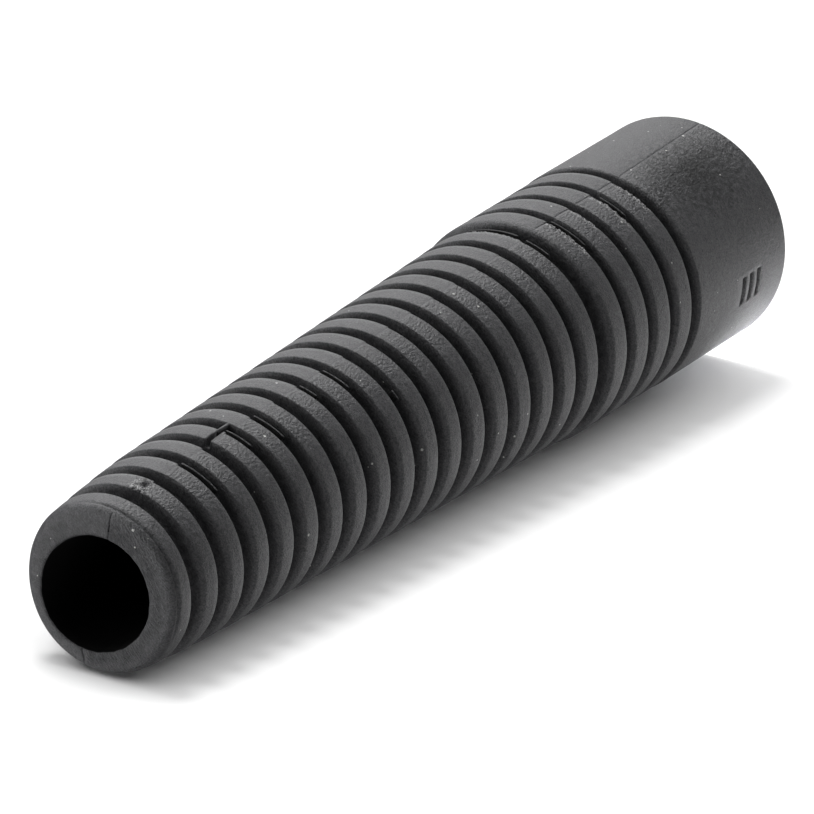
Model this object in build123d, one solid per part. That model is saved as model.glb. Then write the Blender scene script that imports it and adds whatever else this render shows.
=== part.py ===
from build123d import *
import os

# Cable strain relief sleeve, moulded in one piece of soft black rubber.
# A cable passes up the middle. The plain collar is held in an appliance's housing, and
# the ribbed, tapered body bends with the cable, most at the thin nose.
# The sleeve stands on its collar: +Z is its axis, and z = 0 is the collar's end face.
# Every length is in millimetres.

# Bore and socket
cable_bore_d = 10.0       # straight hole that the cable runs through
socket_d = 15.0           # wider hole in the collar, for the appliance's cable neck
socket_depth = 16.0       # from the end face to the start of the cone
socket_cone = 8.5         # length of the cone from the socket down to the bore
socket_lead_in = 0.8      # chamfer at the socket's mouth
bore_lip_round = 0.2      # rounding of the bore's edge at the nose

# Collar
collar_d = 21.6
collar_length = 15.7
collar_end_round = 0.4    # outer edge of the end face
collar_top_round = 0.35   # edge beside the first groove

# Rear ribs, nearly as wide as the collar
rear_rib_count = 4
rear_pitch = 3.74
rear_groove_width = 1.2
rear_groove_depth = 1.6
rear_rib_drop = 0.08      # the lowest rear rib's crown lies this far inside the collar
rear_taper = 0.12         # and the highest one's lies this much further in

# Wide groove between the rear ribs and the tapered body
waist_width = 1.8
waist_shoulder_round = 0.6
body_step = 0.55          # the body's widest crown is this far inside the collar

# Tapered body
body_rib_count = 18
body_pitch = 3.6
tail_groove_width = 1.37
nose_groove_width = 1.6
tail_groove_depth = 2.1
nose_groove_depth = 1.5
nose_wall = 1.42          # rubber between the bore and the deepest groove at the nose
first_rib_length = 2.65   # plain ring that carries the nose face
nose_ease = 0.44          # how far the nose draws in from the straight taper
nose_ease_length = 12.8   # and over what length
nose_edge_round = 0.8

# Edges that every rib shares
front_shoulder_round = 0.45
rear_shoulder_round = 0.2
floor_round = 0.4

# Radii and heights that follow from the sizes above
bore_r = cable_bore_d / 2
socket_r = socket_d / 2
collar_r = collar_d / 2
rear_length = rear_rib_count * rear_pitch
body_length = first_rib_length + (body_rib_count - 1) * body_pitch
rear_top = collar_length + rear_length
body_bottom = rear_top + waist_width
overall_length = body_bottom + body_length


def share(value, low, high):
    """How far a value lies from low to high, as a number from 0 to 1."""
    return min(max((value - low) / (high - low), 0.0), 1.0)


def blend(low, high, part):
    return low + (high - low) * part


def rear_crown(height):
    """Radius of the rear ribs' crowns at a height."""
    return collar_r - rear_rib_drop - rear_taper * share(height, collar_length, rear_top)


def body_crown(height):
    """Radius of the body's crowns: a straight taper that draws in at the nose."""
    nose_r = bore_r + nose_wall + nose_groove_depth
    taper = blend(collar_r - body_step, nose_r, share(height, body_bottom, overall_length))
    near_nose = share(height, overall_length - nose_ease_length, overall_length)
    return taper - nose_ease * near_nose**2


def rib(bottom, top, crown, top_round):
    """Two corners of one rib's crown, each with its rounding."""
    return [(crown(bottom), bottom, rear_shoulder_round), (crown(top), top, top_round)]


def groove(bottom, top, crown, depth):
    """Two corners of one groove's floor, each with its rounding."""
    return [(crown(bottom) - depth, bottom, floor_round), (crown(top) - depth, top, floor_round)]


def collar_outline():
    return [
        (socket_r + socket_lead_in, 0.0, 0.0),
        (collar_r, 0.0, collar_end_round),
        (collar_r, collar_length, collar_top_round),
    ]


def rear_outline():
    """Grooves and ribs from the collar up to the waist."""
    corners = []
    for number in range(rear_rib_count):
        bottom = collar_length + number * rear_pitch
        crown_bottom = bottom + rear_groove_width
        top = bottom + rear_pitch
        last = number == rear_rib_count - 1
        top_round = waist_shoulder_round if last else front_shoulder_round
        corners += groove(bottom, crown_bottom, rear_crown, rear_groove_depth)
        corners += rib(crown_bottom, top, rear_crown, top_round)
    return corners


def body_outline():
    """The waist, then the ribs of the tapered body up to the nose."""
    corners = groove(rear_top, body_bottom, body_crown, rear_groove_depth)
    for number in range(body_rib_count):
        along = share(number, 0, body_rib_count - 1)
        bottom = body_bottom + number * body_pitch
        if number == body_rib_count - 1:
            corners += rib(bottom, overall_length, body_crown, nose_edge_round)
            break
        groove_bottom = bottom + body_pitch - blend(tail_groove_width, nose_groove_width, along)
        depth = blend(tail_groove_depth, nose_groove_depth, along)
        corners += rib(bottom, groove_bottom, body_crown, front_shoulder_round)
        corners += groove(groove_bottom, bottom + body_pitch, body_crown, depth)
    return corners


def inner_outline():
    """The bore from the nose down, its cone, and the socket with its lead-in."""
    return [
        (bore_r, overall_length, bore_lip_round),
        (bore_r, socket_depth + socket_cone, 0.0),
        (socket_r, socket_depth, 0.0),
        (socket_r, socket_lead_in, 0.0),
    ]


def make_sleeve():
    corners = collar_outline() + rear_outline() + body_outline() + inner_outline()
    points = [(radius, 0.0, height) for radius, height, _ in corners]
    rounds = [corner_round for _, _, corner_round in corners]
    outline = FilletPolyline(*points, radius=rounds, close=True)
    return revolve(make_face(outline), axis=Axis.Z)


os.makedirs("parts", exist_ok=True)
sleeve = make_sleeve()
sleeve.label = "sleeve"
export_step(sleeve, "parts/sleeve.step")

print(f"overall length {overall_length:.2f}, collar {collar_d:.2f}, bore {cable_bore_d:.2f}")
print(f"first crown {2 * body_crown(overall_length):.2f}, volume {sleeve.volume:.0f}")
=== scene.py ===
# %% [markdown]
# A cable strain relief sleeve is the soft boot that keeps an appliance's cable from
# breaking where it leaves the housing. This one is a single moulding in black rubber:
# a plain collar, four ribs nearly as wide, a broad groove, and a body of eighteen ribs
# that tapers to an open nose. This lesson models it with bmesh operators, and first
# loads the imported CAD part, because that part decides every size.

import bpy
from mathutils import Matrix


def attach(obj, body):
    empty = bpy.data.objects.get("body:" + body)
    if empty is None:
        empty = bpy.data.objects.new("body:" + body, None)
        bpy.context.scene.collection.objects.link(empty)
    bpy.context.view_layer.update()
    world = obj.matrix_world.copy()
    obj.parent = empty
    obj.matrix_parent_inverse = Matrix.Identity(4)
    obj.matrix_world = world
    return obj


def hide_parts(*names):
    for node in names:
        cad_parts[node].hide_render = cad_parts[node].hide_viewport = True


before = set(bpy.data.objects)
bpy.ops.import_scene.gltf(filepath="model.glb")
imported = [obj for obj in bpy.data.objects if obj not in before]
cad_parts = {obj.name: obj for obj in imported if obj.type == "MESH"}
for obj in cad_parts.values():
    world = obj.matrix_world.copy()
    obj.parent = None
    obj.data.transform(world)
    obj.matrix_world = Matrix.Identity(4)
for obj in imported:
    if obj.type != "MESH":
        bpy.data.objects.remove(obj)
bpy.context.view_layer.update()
print("CAD nodes:", sorted(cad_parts))

# %% [markdown]
# Blender works in metres and a moulding like this is drawn in millimetres, so the
# lesson keeps the drawing's numbers and turns them into metres at the last moment.
# The numbers below repeat the CAD part's own dimensions.

# %% Sizes from the drawing, in millimetres
import math
import bmesh
import bpy
from mathutils import Matrix, Vector, noise

mm = 0.001

bore_r = 5.0
socket_r = 7.5
socket_depth = 16.0
socket_cone = 8.5
socket_lead_in = 0.8
bore_lip_round = 0.2

collar_r = 10.8
collar_length = 15.7
collar_end_round = 0.4
collar_top_round = 0.35

rear_rib_count = 4
rear_pitch = 3.74
rear_groove_width = 1.2
rear_groove_depth = 1.6
rear_rib_drop = 0.08
rear_taper = 0.12

waist_width = 1.8
waist_shoulder_round = 0.6
body_step = 0.55

body_rib_count = 18
body_pitch = 3.6
tail_groove_width = 1.37
nose_groove_width = 1.6
tail_groove_depth = 2.1
nose_groove_depth = 1.5
nose_wall = 1.42
first_rib_length = 2.65
nose_ease = 0.44
nose_ease_length = 12.8
nose_edge_round = 0.8

front_shoulder_round = 0.45
rear_shoulder_round = 0.2
floor_round = 0.4

rear_top = collar_length + rear_rib_count * rear_pitch
body_bottom = rear_top + waist_width
overall_length = body_bottom + first_rib_length + (body_rib_count - 1) * body_pitch
print(f"overall length {overall_length:.2f} mm")


# %% [markdown]
# A rib's crown is where a finger would touch it. Two small functions give the crown's
# radius at any height, one for the nearly straight rear ribs and one for the body,
# whose taper draws in a little more at the nose. Everything else hangs from them.

# %% Crown radius at a height
def share(value, low, high):
    """How far a value lies from low to high, from 0 to 1."""
    return min(max((value - low) / (high - low), 0.0), 1.0)


def smooth(value, low, high):
    """Like share, but with a soft start and end."""
    part = share(value, low, high)
    return part * part * (3 - 2 * part)


def blend(low, high, part):
    """The value that lies this part of the way from low to high."""
    return low + (high - low) * part


def rear_crown(height):
    return collar_r - rear_rib_drop - rear_taper * share(height, collar_length, rear_top)


def body_crown(height):
    nose_r = bore_r + nose_wall + nose_groove_depth
    taper = blend(collar_r - body_step, nose_r, share(height, body_bottom, overall_length))
    near_nose = share(height, overall_length - nose_ease_length, overall_length)
    return taper - nose_ease * near_nose**2


def crown(height):
    """Radius of the outside at a height, without the grooves, in millimetres."""
    if height < collar_length:
        return collar_r
    return rear_crown(height) if height < rear_top else body_crown(height)


print(f"crown radius {crown(5):.2f} at the collar, {crown(overall_length):.2f} at the nose")


# %% [markdown]
# The whole sleeve is one closed outline turned about its axis. The outline is easiest
# to list as sharp corners, each with the rounding that it will get, going up the
# outside from the collar to the nose and back down through the bore. The two ends of
# each rib are kept in a list, because the wear and the flash are placed from them later.

# %% Corners of the outline
rib_spans = []
hair = 1e-6


def rib(bottom, top, top_round):
    """Corners of one crown: radius, height and rounding. A hair keeps inside the rib."""
    rib_spans.append((bottom, top))
    return [(crown(bottom + hair), bottom, rear_shoulder_round), (crown(top - hair), top, top_round)]


def groove(bottom, top, radius_at, depth):
    """Corners of a groove's floor, which follows the taper at a depth below the crown."""
    return [(radius_at(height) - depth, height, floor_round) for height in (bottom, top)]


corners = [
    (socket_r + socket_lead_in, 0.0, 0.0),
    (collar_r, 0.0, collar_end_round),
    (collar_r, collar_length, collar_top_round),
]
for number in range(rear_rib_count):
    bottom = collar_length + number * rear_pitch
    top = bottom + rear_pitch
    top_round = waist_shoulder_round if number == rear_rib_count - 1 else front_shoulder_round
    corners += groove(bottom, bottom + rear_groove_width, rear_crown, rear_groove_depth)
    corners += rib(bottom + rear_groove_width, top, top_round)

corners += groove(rear_top, body_bottom, body_crown, rear_groove_depth)
for number in range(body_rib_count - 1):
    along = share(number, 0, body_rib_count - 1)
    bottom = body_bottom + number * body_pitch
    top = bottom + body_pitch - blend(tail_groove_width, nose_groove_width, along)
    depth = blend(tail_groove_depth, nose_groove_depth, along)
    corners += rib(bottom, top, front_shoulder_round)
    corners += groove(top, bottom + body_pitch, body_crown, depth)
corners += rib(overall_length - first_rib_length, overall_length, nose_edge_round)

corners += [
    (bore_r, overall_length, bore_lip_round),
    (bore_r, socket_depth + socket_cone, 0.0),
    (socket_r, socket_depth, 0.0),
    (socket_r, socket_lead_in, 0.0),
]
print(len(corners), "corners,", len(rib_spans), "ribs")

# %% [markdown]
# The corners become a ring of edges in a bmesh, and the bevel operator rounds them.
# With affect set to VERTICES a bevel works on a bare outline, its offset is measured
# along the edges, and at a square corner that equals the radius of the rounding.

# %% Draw the outline and round its corners
def rounding_steps(size):
    """Few steps on a small rounding, more where the eye can follow the curve."""
    if size < 0.3:
        return 2
    return 3 if size < 0.5 else 6


sleeve = bmesh.new()
drawn = [sleeve.verts.new((radius * mm, 0.0, height * mm)) for radius, height, _ in corners]
for start, end in zip(drawn, drawn[1:] + drawn[:1]):
    sleeve.edges.new((start, end))

for size in sorted({size for _, _, size in corners if size > 0}):
    bmesh.ops.bevel(
        sleeve,
        geom=[vert for vert, corner in zip(drawn, corners) if corner[2] == size],
        offset=size * mm,
        offset_type="OFFSET",
        segments=rounding_steps(size),
        profile=0.5,
        affect="VERTICES",
        clamp_overlap=False,
        material=-1,
    )
print("outline now has", len(sleeve.verts), "points")


# %% [markdown]
# Long straight runs need a few points too, so that the bend of the soft nose, the
# wear and the parting line have something to move. The ribs get a point about every
# 0.6 mm, the plain collar one about every 1.3 mm, and the hidden inside far fewer.

# %% Add points along the straight runs
inside_step = 8.0
collar_step = 1.35
rib_step = 0.62
socket_reach = 25.0


def longest_step(edge):
    """Spacing wanted on this part of the outline, in millimetres."""
    middle = (edge.verts[0].co + edge.verts[1].co) / 2 / mm
    in_socket = middle.z < socket_reach and middle.x < socket_r + 0.1
    if in_socket or middle.x < bore_r + 0.1:
        return inside_step
    return collar_step if middle.z < collar_length - 0.5 else rib_step


wanted = {}
for edge in sleeve.edges:
    cuts = math.ceil(edge.calc_length() / mm / longest_step(edge)) - 1
    if cuts > 0:
        wanted.setdefault(cuts, []).append(edge)
for cuts, edges in wanted.items():
    bmesh.ops.subdivide_edges(sleeve, edges=edges, cuts=cuts)
print("and", len(sleeve.verts), "with the runs divided")

# %% [markdown]
# Spin turns the outline about the Z axis. use_merge closes the last step onto the
# first. The outline starts on the mould's parting plane, so that a column of points
# lies exactly on the parting line, which runs along both sides of a real moulding.
# Angles in this lesson are measured round from the side that faces the camera.

# %% Spin the outline
parting_angle = 40.0
columns = 120


def outward(angle):
    """Level unit vector at an angle in degrees, 0 facing the camera and 90 along +X."""
    turn = math.radians(angle)
    return Vector((math.sin(turn), -math.cos(turn), 0.0))


bmesh.ops.rotate(
    sleeve,
    verts=sleeve.verts,
    cent=(0, 0, 0),
    matrix=Matrix.Rotation(math.radians(parting_angle - 90), 3, "Z"),
)
bmesh.ops.spin(
    sleeve,
    geom=sleeve.verts[:] + sleeve.edges[:],
    cent=(0, 0, 0),
    axis=(0, 0, 1),
    angle=math.tau,
    steps=columns,
    use_merge=True,
)
bmesh.ops.remove_doubles(sleeve, verts=sleeve.verts, dist=1e-7)
bmesh.ops.recalc_face_normals(sleeve, faces=sleeve.faces)
print("turned into", len(sleeve.faces), "faces")


# %% [markdown]
# The two halves of a mould never meet perfectly. To show the small step between them,
# the mesh is cut a hair to each side of the parting plane, and once more a little
# further out, so that the smooth shading beyond the line stays undisturbed.
# bisect_plane only adds the cut edges here, because its clear options are not set. Each
# edge and point is listed once with dict.fromkeys, which keeps their order where a set
# would shuffle it, so that every run cuts the same mesh.

# %% Cut the mesh beside the parting plane
parting_normal = outward(parting_angle + 90)
seam_half_width = 0.05
seam_margin = 0.16


def cut(mesh, point, normal, faces=None):
    """Adds the edges where a plane crosses the given faces, or the whole mesh."""
    faces = mesh.faces[:] if faces is None else faces
    edges = dict.fromkeys(edge for face in faces for edge in face.edges)
    verts = dict.fromkeys(vert for face in faces for vert in face.verts)
    geometry = list(verts) + list(edges) + list(faces)
    bmesh.ops.bisect_plane(mesh, geom=geometry, dist=1e-8, plane_co=point, plane_no=normal)


def outer_faces(low, high, first_angle, last_angle):
    """Outside faces between two heights and two angles, in millimetres and degrees."""
    found = []
    for face in sleeve.faces:
        middle = face.calc_center_median() / mm
        turn = math.degrees(math.atan2(middle.x, -middle.y))
        inner_r = socket_r + 0.5 if middle.z < socket_reach else bore_r + 0.4
        outside = math.hypot(middle.x, middle.y) > inner_r
        if outside and low < middle.z < high and first_angle < turn < last_angle:
            found.append(face)
    return found


for offset in (-seam_margin, -seam_half_width, seam_half_width, seam_margin):
    cut(sleeve, parting_normal * (offset * mm), parting_normal)
print("parting line cut,", len(sleeve.faces), "faces")

# %% [markdown]
# A shallow valley runs round the nose where its rounding meets the side, on the half
# that faces the camera. Level cuts give it enough points.

# %% Cut the nose valley
valley_below = 0.70
valley_half_width = 0.2
valley_depth = 0.26
valley_angles = (-75, 80)
valley_cuts = (-0.3, -0.16, 0.0, 0.16, 0.3)
for offset in valley_cuts:
    level = overall_length - valley_below + offset
    nose_faces = outer_faces(overall_length - 1.6, overall_length + 0.1, *valley_angles)
    cut(sleeve, Vector((0, 0, level)) * mm, Vector((0, 0, 1)), nose_faces)
print("nose valley cut,", len(sleeve.faces), "faces")

# %% [markdown]
# One rib was nicked in the mould or in use: a slit crosses the fifth rib from the nose,
# beside the parting line. Four cuts, two for its edges and two just inside them, give
# it steep clean sides once the points between them are sunk.

# %% Cut the sides of the slit
slit_rib = rib_spans[-5]
slit_half_width = 0.26
slit_wall = 0.04
slit_depth = 0.75
slit_bottom_angle = parting_angle + 3.6
slit_middle_angle = parting_angle + 3.1
slit_top_angle = parting_angle + 2.6
slit_bottom = outward(slit_bottom_angle) * crown(slit_rib[0]) + Vector((0, 0, slit_rib[0]))
slit_top = outward(slit_top_angle) * crown(slit_rib[1]) + Vector((0, 0, slit_rib[1]))
slit_run = (slit_top - slit_bottom).normalized()
slit_across = slit_run.cross(outward(slit_middle_angle)).normalized()


def near_slit():
    """The rib's faces round the slit, with a margin on every side."""
    return outer_faces(slit_rib[0] - 0.4, slit_rib[1] + 0.4, parting_angle - 5, parting_angle + 13)


slit_foot = slit_half_width - slit_wall
for offset in (-slit_half_width, -slit_foot, slit_foot, slit_half_width):
    cut(sleeve, (slit_bottom + slit_across * offset) * mm, slit_across, near_slit())
print("slit across the rib from", round(slit_rib[0], 2), "to", round(slit_rib[1], 2), "mm")

# %% [markdown]
# Sleeves like this are made in several bores, and the mould marks the size on the
# collar. This plain model carries three short tally strokes there instead of any
# number. Level and upright cuts mark each stroke's edges and the foot of its walls.

# %% Cut the edges of the tally strokes
stroke_heights = (5.1, 6.4, 7.7)
stroke_half_width = 0.32
stroke_angles = (-54.5, -40.0)
stroke_depth = 0.5
stroke_wall = 0.07


def near_strokes():
    """The collar's faces round the strokes, with a margin on every side."""
    return outer_faces(3.6, 10.4, stroke_angles[0] - 3.5, stroke_angles[1] + 3.5)


for stroke in stroke_heights:
    for offset in (stroke_half_width, stroke_half_width - stroke_wall):
        for side in (-1, 1):
            cut(sleeve, Vector((0, 0, stroke + side * offset)) * mm, Vector((0, 0, 1)), near_strokes())
for angle, inward in zip(stroke_angles, (1, -1)):
    for turn in (angle, angle + inward * math.degrees(stroke_wall / collar_r)):
        cut(sleeve, Vector((0, 0, 0)), outward(turn + 90), near_strokes())
print("strokes marked at heights", stroke_heights)

# %% [markdown]
# Torn and scraped places need a finer mesh than the rest. Subdividing only the faces
# there keeps the piece light. The places are listed once, as heights and angles, and
# the same list later drives how far the points move and how rough the rubber looks.

# %% Make the torn places finer
torn_margin = 0.15
torn_places = [
    # height, half height, first angle, last angle, how badly
    (rib_spans[3][0] + 0.20, 0.60, 13.0, 41.0, 1.0),
    (rib_spans[2][0] + 0.12, 0.42, 20.0, 40.0, 0.8),
    (rib_spans[1][0] + 0.14, 0.52, 14.0, 40.0, 1.0),
    (rib_spans[0][0] + 0.16, 0.50, 15.0, 38.0, 0.9),
    (rib_spans[4][0] + 0.05, 0.24, 36.0, 72.0, 0.45),
    (rib_spans[-2][0] + 1.05, 1.00, 36.0, 51.0, 1.0),
]
for height, reach, first_angle, last_angle, _ in torn_places:
    half_band = reach + torn_margin
    faces = outer_faces(height - half_band, height + half_band, first_angle - 2, last_angle + 2)
    edges = dict.fromkeys(edge for face in faces for edge in face.edges)
    bmesh.ops.subdivide_edges(sleeve, edges=list(edges), cuts=3, use_grid_fill=True)
print("with fine places the piece has", len(sleeve.faces), "faces")


# %% [markdown]
# Now the points move. All the small faults of the real moulding are added to the clean
# form in one pass: the step between the mould halves, the hairline on the parting
# plane, the slit, the strokes, the ragged edges, and a waviness that no soft moulding
# is without. The larger faults are short functions of where a point lies, and noise
# from mathutils is the same on every run.

# %% Shapes of the faults
def at(point):
    """Angle, radius, height and distance from the parting plane, in degrees and mm."""
    turn = math.degrees(math.atan2(point.x, -point.y))
    return turn, math.hypot(point.x, point.y), point.z, point.dot(parting_normal)


def torn(turn, height):
    """How torn the rubber is here, from 0 to 1."""
    most = 0.0
    for middle, reach, first_angle, last_angle, badly in torn_places:
        across = smooth(turn, first_angle - 2, first_angle + 3)
        across *= 1 - smooth(turn, last_angle - 3, last_angle + 1)
        level = 1 - smooth(abs(height - middle), reach * 0.5, reach)
        most = max(most, badly * across * level)
    return most


slip_mean = 0.21
slip_swing = 0.07


def slipped_edge(height):
    """How far the upper mould half lets a rib's lower edge reach down, in mm."""
    for bottom, _ in rib_spans[:-1]:
        if bottom - 0.5 < height < bottom + 1.0:
            most = slip_mean + slip_swing * math.sin(1.7 * bottom)
            rise = smooth(height, bottom - 0.5, bottom - 0.15)
            return most * rise * (1 - smooth(height, bottom + 0.1, bottom + 1.0))
    return 0.0


most_crisp = 0.7
crisp_start = (-14, 4)
crisp_end = (150, 175)


def crisp_shoulder(turn, radius, height):
    """Draws a rib's upper shoulder in toward its corner, where the mould is still sharp."""
    crisp = smooth(turn, *crisp_start) * (1 - smooth(turn, *crisp_end))
    keep = 1 - most_crisp * crisp
    reach = front_shoulder_round + 0.01
    for number, (_, top) in enumerate(rib_spans[:-1]):
        if number != rear_rib_count - 1 and abs(top - reach / 2 - height) < reach / 2 + 0.01:
            corner = crown(top - hair)
            if radius > corner - reach:
                return blend(corner, radius, keep), blend(top, height, keep)
    return radius, height


def in_stroke(turn, height):
    """1 on a tally stroke's floor."""
    inside = stroke_angles[0] + 0.2 < turn < stroke_angles[1] - 0.2
    half_floor = stroke_half_width - 0.5 * stroke_wall
    level = any(abs(height - stroke) < half_floor for stroke in stroke_heights)
    return 1.0 if inside and level else 0.0


def in_valley(turn, height):
    """1 in the middle of the nose valley, 0 away from it."""
    level = math.exp(-(((overall_length - valley_below - height) / valley_half_width) ** 2))
    first, last = valley_angles
    return level * smooth(turn, first, -30) * (1 - smooth(turn, 35, last))


print("the first rib's lower edge slips by", round(slipped_edge(rib_spans[0][0]), 2), "mm")

# %% [markdown]
# One function adds them all up for a point. It works on a crown, on a groove's floor or
# on the nose face alike, by how much the point is on each. It leaves the bore and the
# socket alone, because nothing there shows.

# %% Move the points
skin = 0.01
hairline_depth = 0.02
collar_hairline = 0.06
face_hairline = 0.12
torn_reach = 0.16
scar_depth = 0.4
scar_angle = 42.5
scar_rib = rib_spans[-2]
scar_radius = crown(scar_rib[0]) - 0.05
scar_pit = outward(scar_angle) * scar_radius + Vector((0, 0, scar_rib[0] + 0.75))
wave_height = 0.02


def faulty(point):
    """Where a point of the clean form lies on the real moulding, in millimetres."""
    turn, radius, height, beside = at(point)
    if radius < bore_r + 0.02 and height < overall_length - 1.0:
        return point
    if radius < socket_r + 0.9 and height < socket_reach:
        return point
    level = point.copy()
    level.z = 0.0
    direction = level.normalized()
    on_crown = smooth(radius, crown(height) - 0.5, crown(height) - 0.05)
    on_collar = 1 - smooth(height, rear_top - 1, rear_top)
    on_face = smooth(height, overall_length - 0.25, overall_length - 0.02)
    torn_here = torn(turn, height) * on_crown
    radius, new_height = crisp_shoulder(turn, radius - skin, height)

    if slit_rib[0] - 0.6 < height < slit_rib[1] + 0.6 and 30 < turn < 55:
        across = (point - slit_bottom).dot(slit_across)
        if abs(across) < slit_half_width - 0.5 * slit_wall:
            radius = min(radius, crown(height) - slit_depth)
    if height < 10 and on_crown > 0:
        radius -= stroke_depth * in_stroke(turn, height)

    if abs(turn - parting_angle) < 90:
        new_height -= slipped_edge(height) * smooth(beside, -seam_half_width, seam_half_width)
    hairline = math.exp(-((beside / (0.8 * seam_half_width)) ** 2))
    radius -= (hairline_depth + collar_hairline * on_collar) * hairline * on_crown
    new_height -= face_hairline * hairline * on_face
    if torn_here > 0:
        rough = noise.noise(point * 5.5) + 0.8 * noise.noise(point * 12.0)
        radius += torn_reach * torn_here * (rough - 0.25)
        new_height += torn_reach * torn_here * noise.noise(point * 7.0 + Vector((9, 4, 2)))
    radius -= scar_depth * (1 - smooth((point - scar_pit).length, 0.15, 0.5)) * on_crown
    radius -= valley_depth * in_valley(turn, height)

    wave = noise.noise(point * 0.35) - 0.5
    radius += wave_height * wave * on_crown * smooth(height, 0.0, 3.0)
    return direction * radius + Vector((0, 0, new_height))


for vert in sleeve.verts:
    vert.co = faulty(vert.co / mm) * mm
print("moved", len(sleeve.verts), "points")

# %% [markdown]
# The nose is soft and thin, so it is no longer a true circle. The bore has been pulled
# slightly long and sits off centre, and the rim is a little flatter on one side. Points
# on the bore, on the face and on the rim each follow by a share of their radius. The
# face itself falls away a little toward its rim.

# %% Soft nose
soft_length = 14
rim_flat = 0.36
rim_full = 0.30
rim_ripple = 0.012
bore_stretch = 0.098
bore_shift = (-0.20, 0.31)
nose_shift = -0.05
face_slope = 0.08


def toward(turn, angle):
    """1 where a point faces this angle, falling to 0 a quarter turn away."""
    return max(math.cos(math.radians(turn - angle)), 0.0)


def soft_nose(point):
    """Pulls the bore long and off centre, and flattens one side of the rim."""
    turn, radius, height, _ = at(point)
    near = smooth(height, overall_length - soft_length, overall_length)
    if near == 0:
        return point
    outside = share(radius, bore_r + 0.2, crown(height) - 0.9)
    inside = (1 - outside) * near
    flat = rim_flat * toward(turn, 133) ** 3
    full = rim_full * toward(turn, -5) ** 2 * smooth(height, overall_length - 3.0, overall_length)
    ripple = rim_ripple * noise.noise(point * 1.4) * inside
    ripple *= smooth(height, overall_length - 1, overall_length)
    grow = 1 + outside * (full - flat * near) / max(radius, 1.0) + ripple
    x = point.x * grow + bore_shift[0] * inside + nose_shift * near
    y = point.y * grow * (1 + bore_stretch * inside) + bore_shift[1] * inside
    on_face = smooth(height, overall_length - 1.1, overall_length - 0.3)
    fall = face_slope * max(radius - bore_r - 0.3, 0.0) * on_face
    return Vector((x, y, height - fall))


for vert in sleeve.verts:
    vert.co = soft_nose(vert.co / mm) * mm
rim = [vert.co / mm for vert in sleeve.verts if vert.co.z / mm > overall_length - 0.15]
print("nose face spans", round(min(c.y for c in rim), 2), "to", round(max(c.y for c in rim), 2), "mm")


# %% [markdown]
# A material can only paint shade and highlights and follow the tears if it knows where it
# is, so four measures are stored on the points as attributes: how deep a point lies in a
# groove, how near it is to a crown's sharp lower edge, how torn it is, and how far it lies
# from the parting plane. The Attribute node reads each of them by name. Then the collar is
# turned a little, and the bmesh becomes the finished piece.

# %% Store measures for the materials
edge_reach = 0.16
black_shade_depth = 3.2


def sharp_edge(height):
    """1 on the sharp edge at a rib's lower end, falling off up the crown."""
    for bottom, top in rib_spans:
        if bottom - 0.1 < height < top:
            return math.exp(-max(height - bottom, 0.0) / edge_reach)
    return 0.0



def measure(mesh):
    """Adds the four measures as float layers. Stroke floors count deepest, for black painted shade."""
    layers = {name: mesh.verts.layers.float.new(name) for name in ("depth", "edge", "torn", "beside")}
    for vert in mesh.verts:
        turn, radius, height, beside = at(vert.co / mm)
        depth = crown(height) - radius
        # Painted shade: stroke floors count as deepest, so the material paints them near black.
        if mesh == sleeve and radius > socket_r + 1 and in_stroke(turn, height):
            depth = black_shade_depth
        # Painted shade: the nose valley counts as deeper, so the material darkens it like a groove.
        if radius > bore_r + 1:
            depth += 0.6 * in_valley(turn, height)
        vert[layers["depth"]] = depth
        # The edge measure drives a painted highlight along each crown's lower edge.
        vert[layers["edge"]] = sharp_edge(height) * smooth(-depth, -0.4, -0.05)
        vert[layers["torn"]] = torn(turn, height) * smooth(-depth, -0.6, -0.1)
        vert[layers["beside"]] = beside


def make_piece(mesh, name):
    """Turns a bmesh into a smooth-shaded object that rides on the sleeve's body."""
    bmesh.ops.triangulate(mesh, faces=[face for face in mesh.faces if len(face.verts) > 4])
    data = bpy.data.meshes.new(name)
    mesh.to_mesh(data)
    mesh.free()
    data.shade_smooth()
    piece = bpy.data.objects.new(name, data)
    bpy.context.scene.collection.objects.link(piece)
    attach(piece, "root")
    triangles = sum(len(face.vertices) - 2 for face in data.polygons)
    print(f"{name}: {triangles} triangles")
    return piece


collar_lean = math.radians(3.2)
lean_reach = collar_length + 1.0


def twisted(point):
    """Turns the collar a few degrees, because the real parting line leans there."""
    lean = collar_lean * (1 - share(point.z, 0.0, lean_reach))
    return Matrix.Rotation(lean, 3, "Z") @ point


measure(sleeve)
for vert in sleeve.verts:
    if vert.co.z < lean_reach * mm:
        vert.co = twisted(vert.co / mm) * mm
rubber_sleeve = make_piece(sleeve, "rubber_sleeve")
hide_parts("sleeve")
weighted = rubber_sleeve.modifiers.new("flat crowns", "WEIGHTED_NORMAL")
weighted.mode = "FACE_AREA"
weighted.weight = 60
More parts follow.
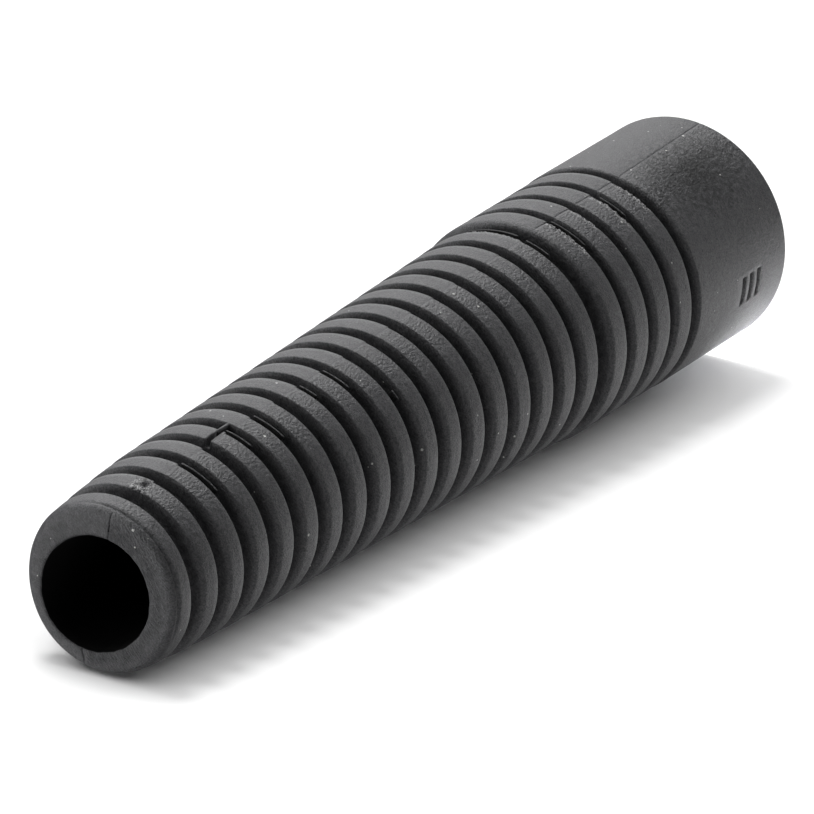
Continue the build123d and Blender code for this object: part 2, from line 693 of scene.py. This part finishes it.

# %% [markdown]
# Where the mould halves met badly, a film of rubber squeezed out and set as flash: thin
# lips that stand in the groove just past a rib's lower edge, with a dark gap between.
# Each lip is a thin five-point outline, spun part of the way round. Its root is buried
# in the groove's floor, and its tip sinks out of sight at both ends and is ragged. A
# small bridge of flash stands where the slit meets the groove. Only the outer tips keep
# the rubber's colour. The rest gets near-black painted shade, the shadow of the gap.

# %% Flash beside the ribs
lip_rows = [
    # rib, first angle, last angle, gap past the edge, raggedness
    (rib_spans[-3], 12.0, 40.0, 0.56, 0.06),
    (rib_spans[-5], 24.0, 42.0, 0.50, 0.08),
    (rib_spans[-6], 18.0, 40.0, 0.62, 0.14),
    (rib_spans[-8], 28.0, 40.0, 0.46, 0.10),
    (rib_spans[-9], 22.0, 40.0, 0.50, 0.10),
    (rib_spans[-10], 2.0, 8.0, 0.80, 0.16),
    (rib_spans[4], 24.0, 38.5, 0.55, 0.08),
    (rib_spans[4], 44.0, 74.0, 0.72, 0.26),
    (rib_spans[3], 18.0, 39.0, 0.46, 0.18),
    (rib_spans[1], 20.0, 36.0, 0.46, 0.18),
]
lip_thickness = 0.17
lip_root = 2.3
lip_below_crown = 0.1
tip_round = 0.03
degrees_per_step = 1.2
flash = bmesh.new()


def add_lip(rib_span, first_angle, last_angle, gap, ragged):
    """One thin lip of flash that stands on the groove's floor."""
    edge = rib_span[0]
    top_radius = crown(edge + hair) - lip_below_crown
    profile = [
        (top_radius - lip_root, edge - gap),
        (top_radius - 2 * tip_round, edge - gap + 0.01),
        (top_radius, edge - gap),
        (top_radius - tip_round, edge - gap - lip_thickness),
        (top_radius - lip_root, edge - gap - lip_thickness),
    ]
    start = outward(first_angle)
    places = [start * radius + Vector((0, 0, height)) for radius, height in profile]
    points = [flash.verts.new(place * mm) for place in places]
    outline = [flash.edges.new(pair) for pair in zip(points, points[1:] + points[:1])]
    steps = math.ceil((last_angle - first_angle) / degrees_per_step)
    turned = bmesh.ops.spin(
        flash,
        geom=points + outline,
        cent=(0, 0, 0),
        axis=(0, 0, 1),
        angle=math.radians(last_angle - first_angle),
        steps=steps,
    )
    ends = outline + [item for item in turned["geom_last"] if isinstance(item, bmesh.types.BMEdge)]
    bmesh.ops.holes_fill(flash, edges=ends, sides=5)
    made = [vert for vert in flash.verts if vert.index == -1]
    for vert in made:
        turn, radius, height, _ = at(vert.co / mm)
        along = share(turn, first_angle, last_angle)
        full = smooth(along, 0.0, 0.3) * (1 - smooth(along, 0.9, 1.0))
        torn_off = ragged * noise.noise(Vector((turn * 0.35, edge, 0.0)))
        tip = share(radius, top_radius - lip_root, top_radius - 0.04)
        lower = tip * (1 - full) * 0.9 * lip_root
        level = Vector((0, 0, height + tip * torn_off))
        vert.co = (outward(turn) * (radius - lower + tip * torn_off) + level) * mm
    flash.verts.index_update()


for row in lip_rows:
    add_lip(*row)
bridge_angle = 45.0
bridge_size = (0.8, 0.18, 1.7, 1.0)
bridge_sink = 0.38
bridge_drop = 0.65
bridge_radius = crown(slit_rib[0]) - bridge_sink
bridge_place = outward(bridge_angle) * bridge_radius + Vector((0, 0, slit_rib[0] - bridge_drop))
bridge_turn = Matrix.Rotation(math.radians(bridge_angle - 90.0), 4, "Z")
bridge_matrix = Matrix.Translation(bridge_place * mm) @ (bridge_turn @ Matrix.Diagonal(bridge_size))
bmesh.ops.create_cube(flash, size=mm, matrix=bridge_matrix)
bmesh.ops.recalc_face_normals(flash, faces=flash.faces)
measure(flash)
# Painted shade: all of the flash but its outer tips gets the near-black colour of the gap's shadow.
tip_depth = 0.13
depth_layer = flash.verts.layers.float["depth"]
for vert in flash.verts:
    if vert[depth_layer] > tip_depth:
        vert[depth_layer] = black_shade_depth
moulding_flash = make_piece(flash, "moulding_flash")

# %% [markdown]
# Black rubber is never plain black. It has a fine matt grain, dust that sits on it,
# pale places where it is torn, and glossier lower edges on the crowns that are also painted
# paler as a highlight. The grain and the dust are node groups, so that a material can use each
# with its own values. A few helpers keep the wiring short.

# %% Helpers for wiring nodes
def add_node(tree, kind, inputs=None, **settings):
    """Adds a node, sets its properties, then fills or links its inputs by name."""
    node = tree.nodes.new(kind)
    for name, value in settings.items():
        setattr(node, name, value)
    for name, value in (inputs or {}).items():
        if isinstance(value, bpy.types.NodeSocket):
            tree.links.new(value, node.inputs[name])
        else:
            node.inputs[name].default_value = value
    return node


def maths(tree, operation, first, second=0.0, third=0.0):
    inputs = {0: first, 1: second, 2: third}
    return add_node(tree, "ShaderNodeMath", inputs, operation=operation).outputs[0]


def ramp(tree, value, low, high, to_low=0.0, to_high=1.0):
    """Maps low to high onto to_low to to_high, clamped."""
    inputs = {"Value": value, "From Min": low, "From Max": high, "To Min": to_low, "To Max": to_high}
    return add_node(tree, "ShaderNodeMapRange", inputs).outputs["Result"]


def new_group(name, inputs, outputs):
    """A node group with the named inputs and outputs. Returns it with its two ends."""
    group = bpy.data.node_groups.new(name, "ShaderNodeTree")
    for label, kind, value in inputs:
        socket = group.interface.new_socket(label, in_out="INPUT", socket_type=kind)
        if value is not None:
            socket.default_value = value
    for label, kind in outputs:
        group.interface.new_socket(label, in_out="OUTPUT", socket_type=kind)
    return group, group.nodes.new("NodeGroupInput"), group.nodes.new("NodeGroupOutput")


# %% [markdown]
# The grain is two sizes of noise. Below the parting line the real sleeve is wrinkled
# like soft leather, so a third, stretched noise can be mixed in by the Wrinkle input.
# The Shade output is the same grain as a brightness, because fine grain shows less by
# its bumps than by the dust and shine in it. All noise scales are for metres.

# %% Grain group
grain, grain_in, grain_out = new_group(
    "moulded_grain",
    [("Vector", "NodeSocketVector", None), ("Wrinkle", "NodeSocketFloat", 0.0)],
    [("Height", "NodeSocketFloat"), ("Mottle", "NodeSocketFloat"), ("Shade", "NodeSocketFloat")],
)


def noise_of(tree, vector, scale, detail, roughness=0.5):
    inputs = {"Vector": vector, "Scale": scale, "Detail": detail, "Roughness": roughness}
    return add_node(tree, "ShaderNodeTexNoise", inputs).outputs["Fac"]


fine_scale = 7000.0
coarse_scale = 1500.0
wrinkle_scale = 2600.0
where = grain_in.outputs["Vector"]
fine_noise = noise_of(grain, where, fine_scale, 3.0, 0.6)
coarse_noise = noise_of(grain, where, coarse_scale, 2.0)
slanted = add_node(
    grain,
    "ShaderNodeMapping",
    {"Vector": where, "Rotation": (0.4, 0.9, 0.3), "Scale": (1.0, 2.6, 1.0)},
)
wrinkles = noise_of(grain, slanted.outputs["Vector"], wrinkle_scale, 2.0, 0.55)
wrinkled = maths(grain, "MULTIPLY", wrinkles, grain_in.outputs["Wrinkle"])
height = maths(grain, "MULTIPLY_ADD", fine_noise, 0.55, maths(grain, "MULTIPLY", coarse_noise, 0.45))
grain.links.new(maths(grain, "MULTIPLY_ADD", wrinkled, 1.25, height), grain_out.inputs["Height"])
grain.links.new(coarse_noise, grain_out.inputs["Mottle"])
shade = maths(grain, "MULTIPLY_ADD", fine_noise, 0.75, maths(grain, "MULTIPLY", wrinkles, 0.25))
grain.links.new(ramp(grain, shade, 0.34, 0.66, 0.4, 1.6), grain_out.inputs["Shade"])
print("group", grain.name, "has", len(grain.nodes), "nodes")

# %% [markdown]
# Dust is a scatter of pale specks, one or two tenths of a millimetre across. A Voronoi
# texture gives every cell a distance from its centre and a random colour: the distance
# makes the speck and the colour decides which few cells get one, and how large it is.

# %% Dust group
dust, dust_in, dust_out = new_group(
    "dust_specks",
    [
        ("Vector", "NodeSocketVector", None),
        ("Scale", "NodeSocketFloat", 900.0),
        ("Amount", "NodeSocketFloat", 0.1),
    ],
    [("Mask", "NodeSocketFloat")],
)
cells = add_node(
    dust,
    "ShaderNodeTexVoronoi",
    {"Vector": dust_in.outputs["Vector"], "Scale": dust_in.outputs["Scale"], "Randomness": 1.0},
)
picked = add_node(dust, "ShaderNodeSeparateColor", {"Color": cells.outputs["Color"]})
chosen = maths(dust, "LESS_THAN", picked.outputs["Red"], dust_in.outputs["Amount"])
size = ramp(dust, picked.outputs["Green"], 0.0, 1.0, 0.04, 0.12)
speck = maths(dust, "LESS_THAN", cells.outputs["Distance"], size)
dust.links.new(maths(dust, "MULTIPLY", chosen, speck), dust_out.inputs["Mask"])
print("group", dust.name, "has", len(dust.nodes), "nodes")

# %% [markdown]
# The rubber material mixes a dark neutral base with painted shade and painted highlights.
# It is darker by painted shade in the grooves, in the nose valley and on the parting hairline,
# and near black in the strokes, on the flash's hidden sides and in one pebbly patch on the collar.
# A paler tone is a painted highlight along each crown's lower edge and in a band below the
# parting line, and also a random mottle. A rough grey shows where it is torn. Roughness follows
# the grain, the edge mask and the patch, because a polished edge catches more light than the
# matt crown beside it.

# %% Rubber material
rubber_colour = (0.062, 0.062, 0.066, 1.0)
painted_groove_shade = (0.021, 0.021, 0.024, 1.0)
pale_tone_and_highlight_colour = (0.125, 0.125, 0.128, 1.0)
black_shade_colour = (0.005, 0.005, 0.005, 1.0)
torn_colour = (0.5, 0.5, 0.5, 1.0)
dust_colour = (0.55, 0.55, 0.53, 1.0)
dust_scale = 900.0
cluster_scale = 160.0
torn_scale = 6500.0
pebble_scale = 1900.0
patch_place = outward(21.0) * collar_r + Vector((0, 0, 8.2))
patch_squeeze = (1.0, 1.0, 0.5)
patch_raggedness = 0.009
patch_solid = 0.0048
patch_edge = 0.0092
bump_height = 0.0002


def mix(tree, factor, first, second):
    inputs = {"Factor": factor, 6: first, 7: second}
    node = add_node(tree, "ShaderNodeMix", inputs, data_type="RGBA")
    return node.outputs[2]


def group_node(tree, group, inputs):
    return add_node(tree, "ShaderNodeGroup", inputs, node_tree=group)


def attribute(tree, name):
    return add_node(tree, "ShaderNodeAttribute", attribute_name=name).outputs["Fac"]


def vector_maths(tree, operation, first, second, output="Vector"):
    inputs = {0: first, 1: second}
    return add_node(tree, "ShaderNodeVectorMath", inputs, operation=operation).outputs[output]


def new_material(name):
    material = bpy.data.materials.new(name)
    material.use_nodes = True
    tree = material.node_tree
    return material, tree, tree.nodes["Principled BSDF"]


rubber, tree, shader = new_material("black_rubber")
where = add_node(tree, "ShaderNodeTexCoord").outputs["Object"]
beside = attribute(tree, "beside")
past_line = ramp(tree, beside, 0.1, -0.3)
below_line = maths(tree, "MULTIPLY", past_line, ramp(tree, beside, -7.5, -3.5))
grained = group_node(tree, grain, {"Vector": where, "Wrinkle": below_line})
clusters = ramp(tree, noise_of(tree, where, cluster_scale, 1.0), 0.5, 0.72, 0.13, 0.5)
specks = group_node(tree, dust, {"Vector": where, "Scale": dust_scale, "Amount": clusters})
depth = attribute(tree, "depth")
edge_highlight_and_polish = attribute(tree, "edge")
torn_mask = attribute(tree, "torn")
broken = noise_of(tree, where, torn_scale, 3.0, 0.7)
torn_specks = maths(tree, "MULTIPLY", torn_mask, ramp(tree, broken, 0.46, 0.62))

from_patch = vector_maths(tree, "SUBTRACT", where, patch_place * mm)
squeezed = vector_maths(tree, "MULTIPLY", from_patch, patch_squeeze)
patch_distance = vector_maths(tree, "LENGTH", squeezed, (0.0, 0.0, 0.0), "Value")
pebbles = noise_of(tree, where, pebble_scale, 2.0, 0.6)
ragged_distance = maths(tree, "MULTIPLY_ADD", pebbles, patch_raggedness, patch_distance)
# The patch's pebbly bumps and rougher finish are real; its darker colour is painted shade of a shallow
# dip.
pebbly_patch_and_shade = ramp(tree, ragged_distance, patch_edge, patch_solid)

# Painted shade: the deeper a point lies in a groove, the darker its colour.
colour = mix(tree, ramp(tree, depth, 0.35, 1.35), rubber_colour, painted_groove_shade)
# Painted highlight: a paler tone along each crown's sharp lower edge.
colour = mix(tree, maths(tree, "MULTIPLY", edge_highlight_and_polish, 0.85), colour, pale_tone_and_highlight_colour)
colour = mix(tree, ramp(tree, grained.outputs["Mottle"], 0.35, 0.7, 0.0, 0.3), colour, pale_tone_and_highlight_colour)
on_crown = ramp(tree, depth, 0.5, 0.1)
# Painted highlight: a paler band on the crowns just below the parting line.
near_line = maths(tree, "MULTIPLY", past_line, ramp(tree, beside, -3.4, -1.2))
painted_band_highlight = maths(tree, "MULTIPLY", maths(tree, "MULTIPLY", near_line, on_crown), 0.5)
colour = mix(tree, painted_band_highlight, colour, pale_tone_and_highlight_colour)
patch_shade = maths(tree, "MULTIPLY", pebbly_patch_and_shade, 0.8)
# Painted shade: near black in the strokes, on the flash's hidden sides and over the collar patch.
black_shade_mask = maths(tree, "MAXIMUM", ramp(tree, depth, 2.4, 3.0), patch_shade)
colour = mix(tree, black_shade_mask, colour, black_shade_colour)
# Painted shade: a dark line along the parting hairline.
on_line = ramp(tree, maths(tree, "ABSOLUTE", beside), 0.08, 0.04, 0.0, 0.6)
colour = mix(tree, on_line, colour, painted_groove_shade)
shade_inputs = {0: colour, "Scale": grained.outputs["Shade"]}
shaded = add_node(tree, "ShaderNodeVectorMath", shade_inputs, operation="SCALE").outputs["Vector"]
colour = mix(tree, maths(tree, "MULTIPLY", torn_specks, 0.85), shaded, torn_colour)
colour = mix(tree, specks.outputs["Mask"], colour, dust_colour)
tree.links.new(colour, shader.inputs["Base Color"])
roughness = ramp(tree, grained.outputs["Height"], 0.3, 0.8, 0.46, 0.58)
roughness = maths(tree, "MULTIPLY_ADD", pebbly_patch_and_shade, 0.2, roughness)
tree.links.new(maths(tree, "MULTIPLY_ADD", edge_highlight_and_polish, -0.08, roughness), shader.inputs["Roughness"])
pebbled = maths(tree, "MULTIPLY", pebbles, pebbly_patch_and_shade)
bumps = maths(tree, "MULTIPLY_ADD", pebbled, 1.6, grained.outputs["Height"])
bump = add_node(tree, "ShaderNodeBump", {"Height": bumps, "Distance": bump_height, "Strength": 0.8})
tree.links.new(bump.outputs["Normal"], shader.inputs["Normal"])
rubber_sleeve.data.materials.append(rubber)
moulding_flash.data.materials.append(rubber)
print("material", rubber.name, "has", len(tree.nodes), "nodes")

# %% [markdown]
# The photograph shows the bore as a clean black hole, the shade inside it. The bore's wall
# paints that shade: it has a material of its own, near black with hardly any shine, from
# just inside the rim down to the socket.

# %% Bore material
bore_shade_dark = (0.002, 0.002, 0.002, 1.0)
bore_shade_pale = (0.006, 0.006, 0.006, 1.0)
below_rim = 0.12
bore_margin = 1.0
bore_shade_black, tree, shader = new_material("bore_shade_black")
where = add_node(tree, "ShaderNodeTexCoord").outputs["Object"]
cloudy = noise_of(tree, where, coarse_scale, 2.0)
# Painted shade: the bore's wall is near black, with a faint random cloudiness.
colour = mix(tree, cloudy, bore_shade_dark, bore_shade_pale)
tree.links.new(colour, shader.inputs["Base Color"])
tree.links.new(ramp(tree, cloudy, 0.3, 0.7, 0.8, 0.95), shader.inputs["Roughness"])
shader.inputs["Specular IOR Level"].default_value = 0.08
rubber_sleeve.data.materials.append(bore_shade_black)
for polygon in rubber_sleeve.data.polygons:
    middle = polygon.center / mm
    deep = socket_depth + socket_cone < middle.z < overall_length - below_rim
    in_bore = deep and math.hypot(middle.x, middle.y) < bore_r + bore_margin
    polygon.material_index = 1 if in_bore else 0
print("bore faces:", sum(polygon.material_index for polygon in rubber_sleeve.data.polygons))

# %% [markdown]
# The camera stands where the photographer's did. A long lens was used, so the sleeve
# hardly narrows with distance. The camera is placed from four measured things: the
# pixel of the nose's centre, the bore's radius in pixels, the direction in which the
# axis runs across the picture, and the angle between the line of sight and the axis.

# %% Camera
picture = 814
focal = 8160.0
bore_pixels = 60.72
nose_pixel = (95.6, 590.3)
axis_turn = math.radians(-31.64)
sight_angle = math.radians(41.0)
nose_distance = focal * bore_r / bore_pixels

half = picture / 2
sight = Vector(((nose_pixel[0] - half) / focal, (nose_pixel[1] - half) / focal, 1.0)).normalized()
run = Vector((math.cos(axis_turn), math.sin(axis_turn), 0.0))
run = (run - sight * run.dot(sight)).normalized()
seen_x = -sight.cross(run)
seen_y = sight * math.sin(sight_angle) - run * math.cos(sight_angle)
seen_z = -(sight * math.cos(sight_angle) + run * math.sin(sight_angle))
to_world = Matrix((seen_x, seen_y, seen_z))
nose = Vector((0, 0, overall_length))
place = nose - (to_world @ sight) * nose_distance

camera = bpy.data.objects.new("camera", bpy.data.cameras.new("camera"))
bpy.context.scene.collection.objects.link(camera)
bpy.context.scene.camera = camera
axes = [to_world @ Vector(axis) for axis in ((1, 0, 0), (0, -1, 0), (0, 0, -1))]
turned = Matrix(axes).transposed().to_4x4()
camera.matrix_world = Matrix.Translation(place * mm) @ turned
camera.data.sensor_width = 36.0
camera.data.lens = focal / picture * camera.data.sensor_width
camera.data.clip_start = 0.05
camera.data.clip_end = 20.0
print("camera at", [round(value, 1) for value in place], "mm, lens", round(camera.data.lens, 1))

# %% [markdown]
# The set is a pale floor, a pale board and a few soft lamps. The sleeve stands on the
# floor, and in the photograph it lies on a table, so the board takes the table's place:
# it touches the sleeve along the side that is turned down in the picture, on the last
# rear rib and near the nose, and catches its shadow. From behind, the board is clear.
# Floor and board each have suns of their own, and neither shades the rubber. The world
# is white to the camera and almost dark to everything else.

# %% Floor, board and world
scene = bpy.context.scene
board_side = 50.8
board_gap = 0.03
upper_foot = 83.5
pale = (0.9, 0.9, 0.9, 1.0)
ambient = 0.03
board_feet = [
    (crown(rear_top - 0.01) + board_gap, rear_top),
    (crown(upper_foot) + board_gap, upper_foot),
]


def stage_plane(name, matrix, paint):
    """A large stage plane that only receives light."""
    mesh = bmesh.new()
    bmesh.ops.create_grid(mesh, x_segments=4, y_segments=4, size=1.5, matrix=matrix)
    data = bpy.data.meshes.new(name)
    mesh.to_mesh(data)
    mesh.free()
    plane = bpy.data.objects.new(name, data)
    scene.collection.objects.link(plane)
    plane.data.materials.append(paint)
    plane.visible_shadow = False
    plane.visible_diffuse = False
    plane.visible_glossy = False
    return plane


def pale_paint(name):
    """A matt paint for the stage, with its node tree and shader."""
    paint, tree, shader = new_material(name)
    shader.inputs["Base Color"].default_value = pale
    shader.inputs["Roughness"].default_value = 1.0
    shader.inputs["Specular IOR Level"].default_value = 0.0
    return paint, tree, shader


floor = stage_plane("floor", Matrix.Identity(4), pale_paint("pale_floor")[0])
board_paint, tree, shader = pale_paint("pale_board")
clear = tree.nodes.new("ShaderNodeBsdfTransparent")
seen_side = tree.nodes.new("ShaderNodeMixShader")
tree.links.new(tree.nodes.new("ShaderNodeNewGeometry").outputs["Backfacing"], seen_side.inputs["Fac"])
tree.links.new(shader.outputs["BSDF"], seen_side.inputs[1])
tree.links.new(clear.outputs["BSDF"], seen_side.inputs[2])
tree.links.new(seen_side.outputs["Shader"], tree.nodes["Material Output"].inputs["Surface"])
touching = outward(board_side + 180)
low_foot, high_foot = [touching * radius + Vector((0, 0, height)) for radius, height in board_feet]
board_up = (high_foot - low_foot).normalized()
board_level = outward(board_side + 90)
board_normal = board_level.cross(board_up)
board_axes = Matrix((board_level, board_up, board_normal)).transposed().to_4x4()
board = stage_plane("board", Matrix.Translation(low_foot * mm) @ board_axes, board_paint)
print("board faces", [round(value, 2) for value in board_normal])

world = bpy.data.worlds.new("studio")
scene.world = world
world.use_nodes = True
background = world.node_tree.nodes["Background"]
path = add_node(world.node_tree, "ShaderNodeLightPath")
strength = ramp(world.node_tree, path.outputs["Is Camera Ray"], 0.0, 1.0, ambient, 1.0)
world.node_tree.links.new(strength, background.inputs["Strength"])
background.inputs["Color"].default_value = (1.0, 1.0, 1.0, 1.0)
print("world strength is", ambient, "for light and 1 for the camera")

# %% [markdown]
# The soft lamps are large squares all round the sleeve, each placed by its angle and by
# how far it rises, from -1 below to 1 above. They only light the sleeve, through light
# linking, so that the stage can be lit by itself. A small one near the collar's end is
# the glow that the white table throws there. The suns light the stage alone.

# %% Lamps
def only(name, *things):
    """A collection that names what a lamp may light."""
    collection = bpy.data.collections.new(name)
    for thing in things:
        collection.objects.link(thing)
    return collection


sleeve_only = only("lit by the soft lamps", rubber_sleeve, moulding_flash)
target = Vector((0, 0, 48)) * mm
lamp_distance = 0.9
lamp_size = 0.6
soft_lamps = [
    # name, angle round the sleeve, rise, power
    ("key", 78, -0.50, 5.6),
    ("key front", 78, -0.10, 5.8),
    ("low fill", -90, -0.85, 2.0),
    ("low front", -45, -0.85, 0.7),
    ("front", -36, -0.10, 1.2),
    ("nose left", -90, 0.65, 2.1),
    ("nose top", 90, 0.65, 1.7),
    ("nose back", 165, 0.65, 5.5),
    ("rim", 135, -0.85, 1.0),
]
glow_aim = (outward(-95) * collar_r + Vector((0, 0, -2))) * mm
glow_distance = 0.021
glow_size = 0.012
glow_power = 0.0048


def soft_lamp(name, angle, rise, distance, size, power, aim=target, spread=180):
    """A square soft lamp that faces the sleeve, from an angle round it and a rise."""
    lamp = bpy.data.objects.new(name, bpy.data.lights.new(name, "AREA"))
    lamp.data.size = size
    lamp.data.energy = power
    lamp.data.spread = math.radians(spread)
    away = outward(angle) * math.sqrt(1 - rise * rise) + Vector((0, 0, rise))
    lamp.location = aim + away * distance
    lamp.rotation_mode = "QUATERNION"
    lamp.rotation_quaternion = away.to_track_quat("Z", "Y")
    lamp.light_linking.receiver_collection = sleeve_only
    lamp.visible_camera = False
    scene.collection.objects.link(lamp)


for name, angle, rise, power in soft_lamps:
    soft_lamp(name, angle, rise, lamp_distance, lamp_size, power)
soft_lamp("end glow", -98, 0.0, glow_distance, glow_size, glow_power, aim=glow_aim, spread=60)


def stage_sun(name, direction, energy, width, plane):
    """A sun for one stage plane. Its width in degrees sets how soft the shadow is."""
    sun = bpy.data.objects.new(name, bpy.data.lights.new(name, "SUN"))
    sun.data.energy = energy
    sun.data.angle = math.radians(width)
    sun.rotation_mode = "QUATERNION"
    sun.rotation_quaternion = direction.to_track_quat("Z", "Y")
    sun.light_linking.receiver_collection = only("lit by the " + name, plane)
    scene.collection.objects.link(sun)


stage_sun("floor sun", (place - nose).normalized(), 4.9, 1.0, floor)
stage_sun("floor sky", Vector((0, 0, 1)), 1.6, 110.0, floor)
stage_sun("board sun", outward(61) + Vector((0, 0, -0.08)), 1.2, 18.0, board)
stage_sun("board sky", board_normal, 3.4, 110.0, board)

# %% [markdown]
# Last come the plain view settings. Blender's work must never make the part larger.

# %% View settings
scene.view_settings.view_transform = "Standard"
